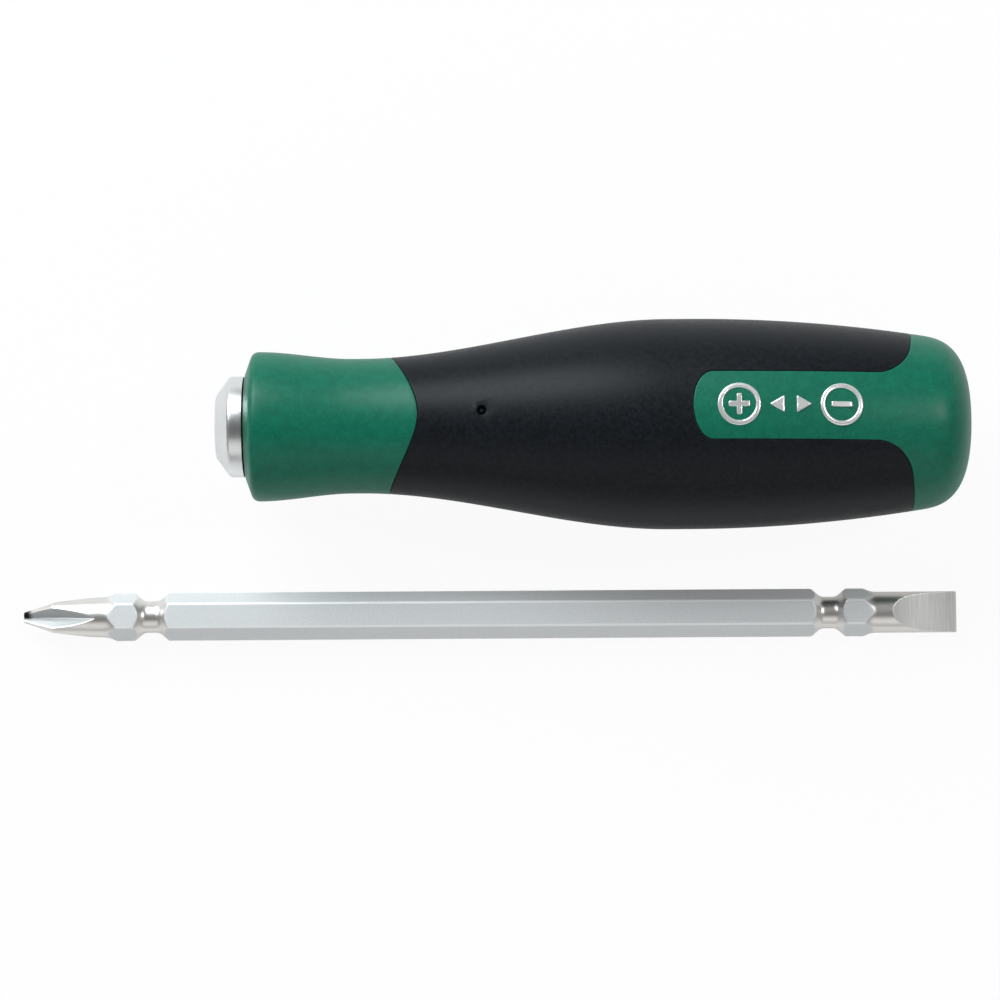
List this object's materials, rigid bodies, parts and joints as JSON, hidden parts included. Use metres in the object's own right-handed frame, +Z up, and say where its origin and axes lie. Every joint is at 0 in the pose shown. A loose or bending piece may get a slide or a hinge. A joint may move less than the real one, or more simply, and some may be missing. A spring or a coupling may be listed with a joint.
{
  "type": "double-ended screwdriver",
  "caption": "Screwdriver with a soft-grip moulded handle, a push-in quick-release collar and a separate reversible hexagonal blade carrying a cross tip and a slotted tip.",
  "frame": {"origin": "middle of the footprint of the handle and the blade lying side by side, on the surface they rest on", "axes": "+X along both halves from the handle's nose to its dome, +Y from the blade to the handle, +Z up from the surface"},
  "size_m": [0.1408, 0.0464, 0.031],
  "materials": {
    "blade_steel": "satin nickel-plated steel, slotted face ground crosswise",
    "green_plastic": "fine satin moulded surface",
    "black_grip": "matt soft overmould",
    "collar_metal": "turned, fine rings",
    "socket_steel": "turned steel",
    "ball_steel": "polished bearing balls",
    "spring_steel": "drawn spring wire"
  },
  "bodies": {
    "handle": {"handle_core": "green_plastic", "grip_sleeve": "black_grip", "socket_tube": "socket_steel", "snap_ring": "spring_steel", "collar_spring": "spring_steel", "spring_washer": "socket_steel"},
    "collar": {"release_collar": "collar_metal"},
    "upper_ball": {"locking_ball_upper": "ball_steel"},
    "lower_ball": {"locking_ball_lower": "ball_steel"},
    "blade": {"double_ended_blade": "blade_steel"}
  },
  "joints": [
    {"name": "collar_press", "type": "slide", "parent": "handle", "child": "collar", "axis": [1, 0, 0], "range_m": [0, 0.003], "stiffness_N_per_m": 1200, "springref_m": -0.004, "deforming": ["collar_spring"]},
    {"name": "upper_ball_draw_back", "type": "slide", "parent": "handle", "child": "upper_ball", "axis": [0, 0, 1], "range_m": [0, 0.00061]},
    {"name": "lower_ball_draw_back", "type": "slide", "parent": "handle", "child": "lower_ball", "axis": [0, 0, -1], "range_m": [0, 0.00061]},
    {"name": "blade_line_up", "type": "slide", "parent": "handle", "child": "blade", "axis": [-0.991, 0.1219, 0.0551], "range_m": [0, 0.22401]}
  ],
  "couplings": [
    {"joint": "upper_ball_draw_back", "follows": "collar_press", "ratio": 0.2},
    {"joint": "lower_ball_draw_back", "follows": "collar_press", "ratio": 0.2}
  ]
}
